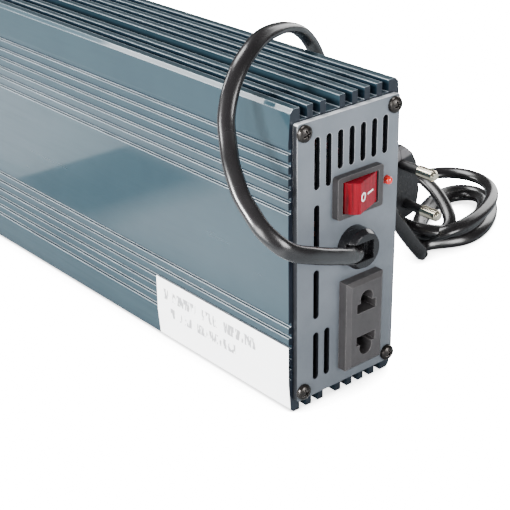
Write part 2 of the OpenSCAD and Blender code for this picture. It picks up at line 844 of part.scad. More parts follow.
module clamp_bars() {
    color("#b8bcc0") placed() {
        strip(bar_w, top_row[0], top_row[1], cavity_z1 - pad_t - device_t - bar_t, bar_t, top_clamp_y);
        strip(bar_w, low_row[0], low_row[1], cavity_z0 + pad_t + device_t, bar_t, low_clamp_y);
    }
}

module clamp_screws() {
    shank = device_t + pad_t + bar_t;
    color("silver") placed() {
        for (y = top_clamp_y) translate([0, y, cavity_z1 - shank]) {
            cylinder(r = 1.2, h = shank + 1.6);
            translate([0, 0, -2]) cylinder(r = 2.8, h = 2);
        }
        for (y = low_clamp_y) translate([0, y, cavity_z0 - 1.6]) {
            cylinder(r = 1.2, h = shank + 1.6);
            translate([0, 0, shank + 1.6]) cylinder(r = 2.8, h = 2);
        }
    }
}

choke_y = 76;
choke_z = 52;
module choke_core() {
    color("#c9b23a") placed() translate([board_x + 3, choke_y, choke_z]) rotate([0, 90, 0]) difference() {
        cylinder(r = 14, h = 11);
        translate([0, 0, -1]) cylinder(r = 7.5, h = 13);
    }
}

module choke_winding() {
    turns = 18;
    color("#b5702c") placed() translate([board_x + 3, choke_y, choke_z]) rotate([0, 90, 0])
        for (i = [0:turns - 1]) rotate([0, 0, 360 * i / turns]) difference() {
            translate([6.3, -0.6, -1.2]) cube([8.9, 1.2, 13.4]);
            translate([7.4, -1, -0.1]) cube([6.7, 2, 11.2]);
        }
}

module changeover_relay() {
    color("#2f5fa8") placed() translate([board_x, 38, 84]) cube([15.5, 19, 15.5]);
}

module blade_fuses() {
    color("#d07f2a") placed() for (z = [64, 77, 90]) translate([board_x, 219, z]) {
        cube([9, 5, 7]);
        translate([9 - eps, 0.5, -2.5]) cube([6, 4, 12]);
    }
}

module buzzer() {
    color(black_plastic) placed() translate([board_x, 50, 24]) rotate([0, 90, 0]) difference() {
        cylinder(r = 6, h = 9.5);
        translate([0, 0, 8.5]) cylinder(r = 1.2, h = 2);
    }
}

wire_x = board_x + 0.4;
module dc_cables() {
    color("#7b2326") placed() for (z = [red_z, black_z])
        wire([-14.8, body_len - 5, z], [-3, -3, 0], [wire_x + 1.6, board_y1 - 5, z + 6], [6, 2, 0], 1.6);
}

module mains_wires() {
    color("#6b4a2a") placed() {
        for (s = [-1, 1]) wire([socket_x, 24.2, socket_z + s * pin_pitch / 2], [0, 8, 0],
            [wire_x, 42, socket_z + s * 6], [10, 0, 0], 0.9);
        for (s = [-1, 1]) wire([relief_x, 12, relief_z + s * 1.4], [0, 8, 0],
            [wire_x, 36, relief_z + s * 5], [10, 0, 0], 0.9);
    }
}

module switch_wires() {
    color("#2a2a2a") placed() for (i = [-1:1]) wire([switch_x + 6 * i, 22.9, switch_z], [0, 7, 0],
        [wire_x, 40, switch_z - 6 + 2.6 * i], [9, 0, 0], 0.8);
}

module led_wires() {
    color("#a02a2a") placed() for (x = [-0.6, 0.6]) wire([led_x + x, 11.6, led_z], [0, 10, 6],
        [wire_x, 32, led_z + 12 + 2 * x], [14, 0, 4], 0.45);
}

module fan_wires() {
    color("#a02a2a") placed() for (s = [-1, 1]) wire([-6, fan_y, fan_z - 22 + s], [0, -3, -1],
        [wire_x, board_y1 - 4, fan_z - 28 + 1.4 * s], [6, 0, 0], 0.5);
}

housing();
front_panel();
rear_panel();
front_screws();
rear_screws();
side_label();
switch_housing();
switch_terminals();
rocker();
rocker_marks();
power_led();
led_clip();
strain_relief();
ac_socket();
socket_contacts();
mains_cord();
cord_hank();
cord_lead();
plug_body();
plug_relief();
plug_sleeves();
plug_pins();
fan_frame();
fan_rotor();
fan_guard();
fan_screws();
red_post_base();
black_post_base();
terminal_studs();
terminal_nuts();
terminal_lugs();
red_clamp_washer();
black_clamp_washer();
red_knob();
black_knob();
main_board();
control_board();
control_chips();
transformer_cores();
transformer_bobbins();
transformer_windings();
input_capacitors();
bus_capacitor();
input_mosfets();
bridge_mosfets();
insulating_pads();
clamp_bars();
clamp_screws();
choke_core();
choke_winding();
changeover_relay();
blade_fuses();
buzzer();
dc_cables();
mains_wires();
switch_wires();
led_wires();
fan_wires();
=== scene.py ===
import json
import math

import bmesh
import bpy
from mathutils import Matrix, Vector


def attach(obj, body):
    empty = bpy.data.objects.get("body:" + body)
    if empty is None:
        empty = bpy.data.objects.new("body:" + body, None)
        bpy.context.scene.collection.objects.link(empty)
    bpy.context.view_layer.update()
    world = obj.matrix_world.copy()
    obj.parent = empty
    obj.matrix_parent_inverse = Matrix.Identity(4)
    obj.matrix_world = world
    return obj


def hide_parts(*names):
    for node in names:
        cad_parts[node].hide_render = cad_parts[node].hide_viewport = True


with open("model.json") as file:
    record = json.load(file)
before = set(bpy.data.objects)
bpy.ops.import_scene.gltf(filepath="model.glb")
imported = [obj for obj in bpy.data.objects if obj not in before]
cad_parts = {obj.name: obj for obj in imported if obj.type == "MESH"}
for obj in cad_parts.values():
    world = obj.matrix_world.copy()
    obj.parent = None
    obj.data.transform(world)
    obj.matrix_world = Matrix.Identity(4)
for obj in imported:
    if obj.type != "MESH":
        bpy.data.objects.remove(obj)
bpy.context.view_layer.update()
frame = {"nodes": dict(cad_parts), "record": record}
NODES = frame["nodes"]
FRONT_Y = -131.7  # the front panel's outer face, in mm


def mm(x, y, z):
    """A place in mm: across from the panel's middle, back from its outer face, up from the floor."""
    return Vector((x, y + FRONT_Y, z)) / 1000


# ---------------------------------------------------------------- camera
CAMERA_TURN = (-40.3, 25.815, -0.88)  # azimuth, elevation and roll, in degrees
CAMERA_TARGET = mm(-40.88, 0, 66.68)
CAMERA_DISTANCE = 0.40518
CAMERA_LENS = 91.11


def make_camera():
    """Adds the camera, and gives the direction from what it looks at back to it."""
    azimuth, elevation, roll = (math.radians(angle) for angle in CAMERA_TURN)
    back = Vector((math.sin(azimuth) * math.cos(elevation), -math.cos(azimuth) * math.cos(elevation),
                   math.sin(elevation)))
    right = Vector((math.cos(azimuth), math.sin(azimuth), 0))
    up = back.cross(right)
    turned_right = right * math.cos(roll) + up * math.sin(roll)
    turned_up = up * math.cos(roll) - right * math.sin(roll)
    data = bpy.data.cameras.new("camera")
    data.sensor_width = 36
    data.lens = CAMERA_LENS
    data.clip_start = 0.02
    data.clip_end = 20
    camera = bpy.data.objects.new("camera", data)
    bpy.context.scene.collection.objects.link(camera)
    place = CAMERA_TARGET + back * CAMERA_DISTANCE
    matrix = camera.matrix_world.copy()
    for row in range(3):
        matrix[row][0] = turned_right[row]
        matrix[row][1] = turned_up[row]
        matrix[row][2] = back[row]
        matrix[row][3] = place[row]
    camera.matrix_world = matrix
    bpy.context.scene.camera = camera
    return back


VIEW_BACK = make_camera()


# ---------------------------------------------------------------- materials
class Shader:
    """A material, with the groups of nodes that the finishes here share."""

    def __init__(self, name):
        self.material = bpy.data.materials.new(name)
        self.material.use_nodes = True
        self.tree = self.material.node_tree
        self.bsdf = self.tree.nodes["Principled BSDF"]
        self.coords = self.node("ShaderNodeTexCoord").outputs["Object"]

    def node(self, kind, **settings):
        made = self.tree.nodes.new(kind)
        for key, value in settings.items():
            setattr(made, key, value)
        return made

    def link(self, output, target):
        self.tree.links.new(output, target)

    def feed(self, target, value):
        if hasattr(value, "is_output"):
            self.link(value, target)
        else:
            target.default_value = value

    def scaled(self, scale):
        mapping = self.node("ShaderNodeMapping")
        self.link(self.coords, mapping.inputs["Vector"])
        mapping.inputs["Scale"].default_value = scale
        return mapping.outputs["Vector"]

    def noise(self, scale, detail=3.0, rough=0.5, stretch=(1, 1, 1)):
        made = self.node("ShaderNodeTexNoise")
        self.link(self.scaled(stretch), made.inputs["Vector"])
        made.inputs["Scale"].default_value = scale
        made.inputs["Detail"].default_value = detail
        made.inputs["Roughness"].default_value = rough
        return made.outputs["Fac"]

    def spread(self, value, low, high, to_low=0.0, to_high=1.0):
        made = self.node("ShaderNodeMapRange")
        self.link(value, made.inputs["Value"])
        made.inputs["From Min"].default_value = low
        made.inputs["From Max"].default_value = high
        made.inputs["To Min"].default_value = to_low
        made.inputs["To Max"].default_value = to_high
        return made.outputs["Result"]

    def math(self, operation, *values):
        made = self.node("ShaderNodeMath", operation=operation)
        for target, value in zip(made.inputs, values):
            self.feed(target, value)
        return made.outputs[0]

    def product(self, mask, *others):
        """Where all of the masks hold. Each of them runs from 0 to 1."""
        for other in others:
            mask = self.math("MULTIPLY", mask, other)
        return mask

    def place(self):
        """The x, y and z of the shaded point in the object's frame, in metres."""
        parts = self.node("ShaderNodeSeparateXYZ")
        self.link(self.coords, parts.inputs[0])
        return parts.outputs

    def within(self, value, low, high, fade):
        """1 between two values, fading to 0 just inside them."""
        return self.product(self.spread(value, low, low + fade), self.spread(value, high, high - fade))

    def mix(self, factor, a, b):
        made = self.node("ShaderNodeMix", data_type="RGBA")
        self.feed(made.inputs["Factor"], factor)
        self.feed(made.inputs["A"], a)
        self.feed(made.inputs["B"], b)
        return made.outputs["Result"]

    def wear_and_sheen_edges(self, radius, sharpness=3.0, upward=False):
        """1 along the edges of a piece and 0 on its faces; if asked, only along edges that look up. The
        finishes use it to paint highlights along edges, and worn paint.
        """
        bevel = self.node("ShaderNodeBevel", samples=6)
        bevel.inputs["Radius"].default_value = radius
        geometry = self.node("ShaderNodeNewGeometry")
        dot = self.node("ShaderNodeVectorMath", operation="DOT_PRODUCT")
        self.link(bevel.outputs["Normal"], dot.inputs[0])
        self.link(geometry.outputs["Normal"], dot.inputs[1])
        edge = self.spread(dot.outputs["Value"], 1.0, 1.0 - 1.0 / sharpness)
        if not upward:
            return edge
        parts = self.node("ShaderNodeSeparateXYZ")
        self.link(bevel.outputs["Normal"], parts.inputs[0])
        return self.product(edge, self.spread(parts.outputs["Z"], 0.12, 0.4))

    def facing(self, axis, low, high):
        """0 to 1 as the surface turns towards a direction of the object."""
        geometry = self.node("ShaderNodeNewGeometry")
        dot = self.node("ShaderNodeVectorMath", operation="DOT_PRODUCT")
        self.link(geometry.outputs["Normal"], dot.inputs[0])
        dot.inputs[1].default_value = axis
        return self.spread(dot.outputs["Value"], low, high)

    def along(self, axis, low, high):
        """0 to 1 along an axis of the object, between two places in metres."""
        return self.spread(self.place()[axis], low, high)

    def hollow(self, distance, low, high):
        """0 deep in a gap and 1 on an open face."""
        made = self.node("ShaderNodeAmbientOcclusion", samples=8)
        made.inputs["Distance"].default_value = distance
        return self.spread(made.outputs["AO"], low, high)

    def bump(self, height, strength, distance, radius):
        """Relief on the surface, over edges that are softened by a radius."""
        made = self.node("ShaderNodeBump")
        made.inputs["Strength"].default_value = strength
        made.inputs["Distance"].default_value = distance
        self.link(height, made.inputs["Height"])
        if radius:
            bevel = self.node("ShaderNodeBevel", samples=4)
            bevel.inputs["Radius"].default_value = radius
            self.link(bevel.outputs["Normal"], made.inputs["Normal"])
        self.link(made.outputs["Normal"], self.bsdf.inputs["Normal"])


def tone(colour, factor):
    return tuple(min(1.0, c * factor) for c in colour) + (1.0,)


def finish_of(name, colour, rough=0.5, metal=0.0, patch=60, vary=0.12, grain=900, depth=0.00004,
              strength=0.25, soften=0.0003, coat=0.0, stretch=(1, 1, 1), edge=None, rough_vary=0.12,
              specular=0.5):
    """A procedural finish: patchy colour, uneven gloss, fine grain, softened edges and optionally paler
    edges, partly worn paint and partly a painted highlight.
    """
    s = Shader(name)
    patches = s.noise(patch, 4.0, 0.6, stretch)
    tint = s.mix(s.spread(patches, 0.3, 0.7), tone(colour, 1 - vary), tone(colour, 1 + vary))
    if edge:
        # painted highlight along every edge, partly worn paint too, broken up by noise
        wear_and_sheen_breakup = s.spread(s.noise(1400, 3.0, 0.7), 0.35, 0.6, 0.35, 1.0)
        tint = s.mix(s.product(s.wear_and_sheen_edges(0.0005), wear_and_sheen_breakup), tint, tone(edge, 1))
    s.feed(s.bsdf.inputs["Base Color"], tint)
    gloss = s.noise(grain * 0.3, 2.0, 0.5, stretch)
    uneven = s.spread(gloss, 0.25, 0.75, max(0.03, rough - rough_vary), min(1.0, rough + rough_vary))
    s.feed(s.bsdf.inputs["Roughness"], uneven)
    s.bsdf.inputs["Metallic"].default_value = metal
    s.bsdf.inputs["Coat Weight"].default_value = coat
    s.bsdf.inputs["Coat Roughness"].default_value = 0.12
    s.bsdf.inputs["Specular IOR Level"].default_value = specular
    s.bump(s.noise(grain, 3.0, 0.6, stretch), strength, depth, soften)
    return s


# The finishes that differ only in their numbers
PLAIN_FINISHES = {
    "black_plastic": dict(colour=(0.01, 0.01, 0.011), patch=120, vary=0.2, grain=1800),
    "gloss_black": dict(colour=(0.006, 0.006, 0.007), rough=0.22, patch=150, vary=0.25, grain=600,
                        depth=0.00001, strength=0.08, soften=0.0006, coat=0.1, specular=0.35),
    "grey_plastic": dict(colour=(0.034, 0.032, 0.033), rough=0.42, patch=110, grain=1500, soften=0.0004,
                         edge=(0.16, 0.155, 0.155), specular=0.25),
    "white_print": dict(colour=(0.92, 0.92, 0.9), patch=300, vary=0.03, grain=2500),
    "cord_jacket": dict(colour=(0.0055, 0.005, 0.0055), rough=0.26, vary=0.2, grain=300,
                        depth=0.000004, strength=0.02, soften=0, rough_vary=0.03, specular=0.6),
    "brass": dict(colour=(0.83, 0.76, 0.6), rough=0.22, metal=1.0, vary=0.05, grain=400,
                  depth=0.00001, strength=0.04, rough_vary=0.03),
    "zinc_steel": dict(colour=(0.55, 0.56, 0.57), rough=0.3, metal=1.0, patch=200, vary=0.12, grain=1400,
                       depth=0.00003),
    "black_steel": dict(colour=(0.03, 0.027, 0.025), rough=0.3, metal=0.85, patch=380, vary=0.3,
                        grain=1200, strength=0.3, edge=(0.3, 0.27, 0.25)),
    "red_plastic": dict(colour=(0.5, 0.02, 0.025), rough=0.3, patch=120, vary=0.1, grain=1200, coat=0.3),
    "circuit_board": dict(colour=(0.03, 0.14, 0.06), rough=0.4, patch=420, vary=0.35, grain=1500,
                          coat=0.4),
    "chip_black": dict(colour=(0.018, 0.018, 0.019), rough=0.6, patch=200, vary=0.2, grain=2400),
    "ferrite": dict(colour=(0.05, 0.05, 0.053), rough=0.62, patch=220, vary=0.25, grain=1900,
                    strength=0.5),
    "copper": dict(colour=(0.5, 0.19, 0.07), rough=0.25, metal=0.9, patch=500, vary=0.2, grain=1800,
                   coat=0.5),
    "tape_yellow": dict(colour=(0.62, 0.44, 0.06), rough=0.35, patch=90, vary=0.12, grain=700, coat=0.3,
                        stretch=(1, 1, 12)),
    "capacitor_sleeve": dict(colour=(0.015, 0.03, 0.12), rough=0.28, patch=100, vary=0.15,
                             coat=0.4),
    "grey_pad": dict(colour=(0.4, 0.42, 0.44), rough=0.75, patch=200, vary=0.1, grain=1500),
    "bare_aluminium": dict(colour=(0.66, 0.67, 0.69), rough=0.34, metal=1.0, patch=160, vary=0.08,
                           grain=1300, stretch=(1, 0.05, 1)),
    "toroid_yellow": dict(colour=(0.6, 0.47, 0.03), rough=0.55, patch=150, vary=0.15, grain=1500),
    "relay_blue": dict(colour=(0.02, 0.09, 0.36), rough=0.35, patch=120, vary=0.1, grain=1200),
    "fuse_orange": dict(colour=(0.72, 0.2, 0.02), rough=0.3, patch=150, vary=0.1, grain=1200, coat=0.3),
    "wire_red": dict(colour=(0.07, 0.004, 0.004), rough=0.42, patch=180, vary=0.12, grain=1500,
                     soften=0),
    "wire_brown": dict(colour=(0.13, 0.05, 0.02), rough=0.42, patch=180, vary=0.12, grain=1500,
                       soften=0),
    "wire_black": dict(colour=(0.02, 0.02, 0.02), rough=0.42, patch=180, vary=0.12, grain=1500,
                       soften=0),
}


def red_rocker_finish():
    """Translucent red plastic with faint streaks along its moulding; faces turned towards -x are painted
    darker, as painted shade.
    """
    s = Shader("red_rocker")
    streaks = s.noise(900, 3.0, 0.6, (1, 1, 0.06))
    face = s.mix(s.spread(streaks, 0.35, 0.65), (0.13, 0.0, 0.005, 1), (0.2, 0.0, 0.009, 1))
    # painted shade: faces turned towards -x get this darker red
    shaded_side = s.mix(s.spread(streaks, 0.4, 0.6), (0.03, 0.0, 0.001, 1), (0.12, 0.0, 0.004, 1))
    s.feed(s.bsdf.inputs["Base Color"], s.mix(s.facing((-1.0, 0.0, 0.0), 0.5, 0.9), face, shaded_side))
    s.bsdf.inputs["Roughness"].default_value = 0.22
    s.bsdf.inputs["Specular IOR Level"].default_value = 0.15
    s.bsdf.inputs["Subsurface Weight"].default_value = 0.05
    s.bsdf.inputs["Subsurface Radius"].default_value = (0.002, 0.0004, 0.0004)
    s.bsdf.inputs["Subsurface Scale"].default_value = 0.5
    s.bump(streaks, 0.12, 0.00004, 0.0004)
    return s


def red_lens_finish():
    """A glossy red lamp that glows a little."""
    s = Shader("red_lens")
    fleck = s.noise(700, 2.0)
    tint = s.mix(s.spread(fleck, 0.3, 0.7), (0.4, 0.006, 0.003, 1), (0.6, 0.012, 0.005, 1))
    s.feed(s.bsdf.inputs["Base Color"], tint)
    s.bsdf.inputs["Roughness"].default_value = 0.12
    s.bsdf.inputs["Coat Weight"].default_value = 0.8
    s.bsdf.inputs["Emission Color"].default_value = (0.8, 0.02, 0.005, 1)
    s.bsdf.inputs["Emission Strength"].default_value = 0.12
    s.bump(fleck, 0.1, 0.00003, 0.0003)
    return s


def body_paint_finish():
    """Glossy blue-grey paint, with painted highlights along its upward-looking edges, painted shade between
    the fins and on its forward-facing end faces.
    """
    s = Shader("body_paint")
    cloud = s.noise(14, 4.0, 0.6)
    paint = s.mix(s.spread(cloud, 0.3, 0.7), (0.012, 0.028, 0.038, 1), (0.018, 0.038, 0.049, 1))
    # painted shade: the paint darkens deep between the fins, by ambient occlusion
    gaps = s.hollow(0.006, 0.42, 0.93)
    shaded = s.mix(gaps, (0.005, 0.013, 0.022, 1), paint)
    # painted highlight: edges that look up are made pale, broken up by noise
    wear_and_sheen_breakup = s.spread(s.noise(700, 2.0, 0.6, (1, 0.04, 1)), 0.3, 0.6, 0.55, 1.0)
    edges = s.product(s.wear_and_sheen_edges(0.0006, 7.0, upward=True), wear_and_sheen_breakup)
    colour = s.mix(edges, shaded, (0.5, 0.56, 0.6, 1))
    # painted shade: every forward-facing face of the housing is made near black, for the shadowed gap
    # behind the panel
    front_end = s.facing((0.0, -1.0, 0.0), 0.5, 0.8)
    s.feed(s.bsdf.inputs["Base Color"], s.mix(front_end, colour, (0.006, 0.009, 0.015, 1)))
    streaks = s.noise(420, 3.0, 0.6, (1, 0.06, 1))
    s.feed(s.bsdf.inputs["Roughness"], s.spread(streaks, 0.25, 0.75, 0.27, 0.42))
    s.bsdf.inputs["Metallic"].default_value = 0.3
    s.bsdf.inputs["Specular IOR Level"].default_value = 0.25
    s.bsdf.inputs["Specular Tint"].default_value = (0.75, 0.9, 1.0, 1)
    s.bsdf.inputs["Coat Weight"].default_value = 0.6
    s.bsdf.inputs["Coat Roughness"].default_value = 0.05
    s.bump(s.noise(3400, 2.0, 0.5), 0.12, 0.00001, 0.00025)
    return s


def panel_paint_finish():
    """Satin grey paint, darker low down; its sides and slot walls are painted shade, near black, and its
    top edge and upper rims carry painted highlights.
    """
    s = Shader("panel_paint")
    cloud = s.noise(45, 4.0, 0.6)
    fine = s.noise(2600, 2.0, 0.5)
    face = s.mix(s.spread(cloud, 0.3, 0.7), (0.095, 0.11, 0.128, 1), (0.135, 0.152, 0.173, 1))
    face = s.mix(s.along("Z", 0.02, 0.09), s.mix(0.4, face, (0.02, 0.023, 0.028, 1)), face)
    # painted highlight: the upward face of the top edge is made pale
    top_edge = s.product(s.facing((0.0, 0.0, 1.0), 0.4, 0.7), s.along("Z", 0.098, 0.1))
    # painted shade: every face not turned forward, the sides and the slot walls, is near black
    walls = s.mix(top_edge, (0.005, 0.006, 0.008, 1), (0.6, 0.62, 0.65, 1))
    colour = s.mix(s.facing((0.0, -1.0, 0.0), 0.35, 0.7), walls, face)
    # painted highlight: edges in the upper part of the panel are made pale, broken up by noise
    highlight_breakup = s.spread(fine, 0.2, 0.7, 0.4, 0.95)
    rim = s.product(s.wear_and_sheen_edges(0.0004), highlight_breakup, s.along("Z", 0.06, 0.104))
    s.feed(s.bsdf.inputs["Base Color"], s.mix(rim, colour, (0.9, 0.92, 0.94, 1)))
    s.feed(s.bsdf.inputs["Roughness"], s.spread(fine, 0.25, 0.75, 0.36, 0.5))
    s.bsdf.inputs["Metallic"].default_value = 0.1
    s.bump(fine, 0.2, 0.00002, 0.0003)
    return s


PLUG_X = 0.0945  # the plug's axis runs along y, at this x and z
PLUG_Z = 0.0333
PLUG_LEAN = 0.174  # how far the plug's face leans sideways for each unit of its height


def plug_finish():
    """Moulded black plastic; the top of the face is paler, a painted highlight, with a seam down its
    middle.
    """
    s = Shader("plug_plastic")
    grain = s.noise(1900, 3.0, 0.6)
    place = s.place()
    from_x = s.math("SUBTRACT", place["X"], PLUG_X)
    from_z = s.math("SUBTRACT", place["Z"], PLUG_Z)
    up = s.math("SUBTRACT", from_z, s.math("MULTIPLY", from_x, PLUG_LEAN))
    across = s.math("ADD", from_x, s.math("MULTIPLY", from_z, PLUG_LEAN))
    from_middle = s.math("ABSOLUTE", across)
    # painted highlight: the upper part of the face is made pale grey
    top = s.product(s.spread(up, 0.0112, 0.0122), s.facing((0.0, -1.0, 0.0), 0.4, 0.8))
    seam = s.product(s.spread(from_middle, 0.0003, 0.00015), top)
    dark = s.mix(s.spread(grain, 0.3, 0.7), (0.005, 0.005, 0.006, 1), (0.01, 0.01, 0.011, 1))
    pale = s.mix(top, dark, (0.15, 0.145, 0.15, 1))
    s.feed(s.bsdf.inputs["Base Color"], s.mix(seam, pale, (0.05, 0.048, 0.05, 1)))
    s.bsdf.inputs["Roughness"].default_value = 0.34
    # small raised flecks in the middle of the face, where such a plug carries moulded marks
    flecks = s.spread(s.noise(900, 2.0, 0.5, (1, 1, 0.6)), 0.5, 0.56)
    marked = s.product(s.spread(from_middle, 0.006, 0.005), s.spread(s.math("ABSOLUTE", up), 0.008, 0.007),
                       flecks)
    s.bump(s.math("ADD", s.math("MULTIPLY", grain, 0.2), marked), 0.4, 0.0002, 0.0005)
    return s


# Rows of the label: nearest and furthest y, bottom and top z, and a number that varies the strokes
LABEL_ROWS = ((-0.1127, -0.0597, 0.0178, 0.0222, 1.0), (-0.1017, -0.0637, 0.0112, 0.0152, 7.0))
STROKE_FADE = 0.0002


def label_finish():
    """White paper with two rows of plain strokes where a printed label carries its words."""
    s = Shader("paper_label")
    place = s.place()
    rows = []
    for near, far, bottom, top, vary in LABEL_ROWS:
        strokes = s.spread(s.noise(900 + vary * 20, 1.0, 0.4, (0.02, 1, 0.35)), 0.47, 0.53)
        words = s.spread(s.noise(150 + vary * 5, 0.0, 0.0, (0.02, 1, 0.02)), 0.36, 0.4)
        rows.append(s.product(s.within(place["Z"], bottom, top, STROKE_FADE),
                              s.within(place["Y"], near, far, STROKE_FADE), strokes, words))
    ink = s.math("MULTIPLY", s.math("MAXIMUM", *rows), 0.75)
    fibre = s.noise(500, 3.0, 0.5)
    paper = s.mix(s.spread(fibre, 0.3, 0.7), (0.97, 0.972, 0.975, 1), (0.99, 0.99, 0.99, 1))
    s.feed(s.bsdf.inputs["Base Color"], s.mix(ink, paper, (0.06, 0.06, 0.065, 1)))
    s.bsdf.inputs["Roughness"].default_value = 0.45
    s.bump(fibre, 0.2, 0.00005, 0.0001)
    return s


FINISHES = {name: finish_of(name, **facts) for name, facts in PLAIN_FINISHES.items()}
FINISHES.update({
    "paper_label": label_finish(),
    "plug_plastic": plug_finish(),
    "body_paint": body_paint_finish(),
    "panel_paint": panel_paint_finish(),
    "red_rocker": red_rocker_finish(),
    "red_lens": red_lens_finish(),
})
SLOT_OF = {row["node"]: row["material_slot"] for row in frame["record"]["subparts"]}


def finish_nodes():
    for name, node in NODES.items():
        node.data.materials.clear()
        node.data.materials.append(FINISHES[SLOT_OF[name]].material)


finish_nodes()


# ---------------------------------------------------------------- mesh helpers
def new_piece(name, points, faces, slot, body):
    """A smooth-shaded mesh that carries a finish and moves with a body."""
    mesh = bpy.data.meshes.new(name)
    mesh.from_pydata([tuple(p) for p in points], [], faces)
    mesh.validate()
    work = bmesh.new()
    work.from_mesh(mesh)
    bmesh.ops.recalc_face_normals(work, faces=work.faces)
    work.to_mesh(mesh)
    work.free()
    for face in mesh.polygons:
        face.use_smooth = True
    piece = bpy.data.objects.new(name, mesh)
    bpy.context.scene.collection.objects.link(piece)
    mesh.materials.append(FINISHES[slot].material)
    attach(piece, body)
    return piece


def tube_faces(rings, sides):
    """The faces of a closed tube whose points are given ring by ring."""
    faces = [[i * sides + k, i * sides + (k + 1) % sides, (i + 1) * sides + (k + 1) % sides,
              (i + 1) * sides + k] for i in range(rings - 1) for k in range(sides)]
    faces.append(list(reversed(range(sides))))
    faces.append([(rings - 1) * sides + k for k in range(sides)])
    return faces


def blended(keys, at):
    """The values at a place, eased between the rows (place, value, ...) of a short table."""
    if at <= keys[0][0]:
        return keys[0][1:]
    for low, high in zip(keys, keys[1:]):
        if at <= high[0]:
            t = (at - low[0]) / (high[0] - low[0])
            t = t * t * (3 - 2 * t)
            return tuple(a + (b - a) * t for a, b in zip(low[1:], high[1:]))
    return keys[-1][1:]


def smooth_path(points, spacing):
    """Points close together on one smooth curve through the given ones."""
    out = []
    for i in range(len(points) - 1):
        a = points[max(i - 1, 0)]
        b, c = points[i], points[i + 1]
        d = points[min(i + 2, len(points) - 1)]
        steps = max(1, round((c - b).length / spacing))
        for k in range(steps):
            t = k / steps
            out.append(0.5 * (2 * b + (c - a) * t + (2 * a - 5 * b + 4 * c - d) * t * t
                              + (3 * b - a - 3 * c + d) * t * t * t))
    out.append(points[-1])
    return out


# ---------------------------------------------------------------- mains cord
# All of the route is in mm. From inside the gland, over the body and down behind it:
CORD_START = [
    (2.3, 6, 56.5), (2.3, -2, 56.5), (2, -5.5, 55.5), (-2.5, -7.5, 56.5), (-8, -9, 58.5),
    (-13.5, -10.5, 61), (-22, -12.5, 64.5), (-30, -14, 68), (-36, -14, 70.5), (-40.5, -13, 73.5),
    (-43, -10.5, 76.5), (-44.5, -7.5, 79.5), (-44.5, -3, 83), (-44, 2, 86.5), (-43, 6, 90.5),
    (-41.5, 10, 94.5), (-39.5, 13.5, 98.5), (-37, 17.5, 105), (-34.5, 19.5, 110),
    (-31.5, 21, 114.5), (-26.5, 23, 119.5), (-20, 25.5, 123), (-12, 29, 125), (-3, 32.5, 125),
    (5, 36, 123.5), (13, 39.5, 120.5), (21, 43.5, 115.5), (28, 47, 109), (34, 50, 101),
    (39.5, 52, 90.5), (45.5, 53.5, 79), (52, 54, 67), (59.5, 54, 54.5), (68, 54, 41.5),
    (76.5, 53.5, 30.5), (81, 53, 23), (85, 52, 17), (89, 50.5, 11), (93.5, 49.5, 5.5),
    (97.5, 50.5, 2.1), (99, 56, 2.1)]
# On the floor, to the coil:
COIL_LEAD_IN = [(103, 62.5, 2.2), (108, 61, 2.2), (113, 56.5, 2.2), (119, 52.5, 2.2), (128, 51, 2.2)]
# The coil: angle round it in degrees, centre x and y, half length, half width, turn in degrees, height.
COIL = [
    (262, 138, 70, 33.5, 15, 29, 2.4), (330, 138, 70, 33.5, 15, 29, 2.8),
    (480, 138, 70, 34, 15, 29, 3.6), (590, 129, 70, 34.5, 19, 21, 12),
    (690, 129, 72, 32.8, 22, 21, 13.5), (800, 129.5, 72, 34, 22, 21, 13.5),
    (880, 130, 70, 34.5, 19.5, 22, 13), (990, 136, 70, 28.5, 12.5, 28, 6.5),
    (1100, 136, 70, 28.5, 12.5, 28, 2.8), (1200, 134, 68, 29, 13.5, 28, 3), (1250, 132, 66, 28, 15, 28, 5)]
# From the coil round to the back of the plug:
CORD_END = [
    (119, 54, 8), (122.5, 60, 10.5), (125.5, 66, 14), (127, 73, 18), (128.5, 81, 20.5), (131, 90, 19.5),
    (136, 99, 16), (142, 108, 12), (147, 118, 8), (150, 130, 4.5), (150, 142, 3), (145, 152, 2.5),
    (136, 158, 2.5), (125, 159, 4), (115, 155, 9), (106, 147.5, 16.5), (99, 138, 24), (95, 128, 30),
    (94.5, 118, 33.3)]
COIL_STEP = 15  # degrees between the points of the coil
CORD_WIDE = 5.8  # mm
CORD_THICK = 3.8  # mm
CORD_SIDES = 20
# How far the flat side has turned from facing the viewer (0) to facing up (1), by metres along the cord
CORD_TURNS = [(0.0, 0.0), (0.125, 0.0), (0.165, 1.0), (0.215, 1.0), (0.25, 0.0), (0.36, 0.0), (0.40, 0.45)]
SLACK_BELOW = 0.06  # metres above the floor, under which the cord's kinks are smoothed out
SLACK_PASSES = 26
LOWEST_CENTRE = 0.0021  # metres above the floor, for the cord's middle line
LOWEST_SKIN = 0.0001  # and for its surface


def rounded_box(angle, half_x, half_y, power_x, power_y):
    """A point at an angle round an ellipse whose corners are filled out by powers under 1."""
    across = math.cos(angle)
    up = math.sin(angle)
    return (half_x * math.copysign(abs(across) ** power_x, across),
            half_y * math.copysign(abs(up) ** power_y, up))


def coil_points():
    out = []
    for place in range(COIL[0][0], COIL[-1][0] + 1, COIL_STEP):
        centre_x, centre_y, long, wide, turn, z = blended(COIL, place)
        turned = math.radians(turn)
        x, y = rounded_box(math.radians(place), long, wide, 0.9, 0.9)
        out.append((centre_x + x * math.cos(turned) - y * math.sin(turned),
                    centre_y + x * math.sin(turned) + y * math.cos(turned), z))
    return out


def cord_path():
    """The middle line of the cord, with the kinks of its low part smoothed out."""
    path = smooth_path([mm(*p) for p in CORD_START + COIL_LEAD_IN + coil_points() + CORD_END], 0.002)
    slack = [0 < i < len(path) - 1 and p.z <= SLACK_BELOW for i, p in enumerate(path)]
    for _ in range(SLACK_PASSES):
        path = [p * 0.5 + (path[i - 1] + path[i + 1]) * 0.25 if slack[i] else p for i, p in enumerate(path)]
    return [Vector((p.x, p.y, max(p.z, LOWEST_CENTRE))) for p in path]


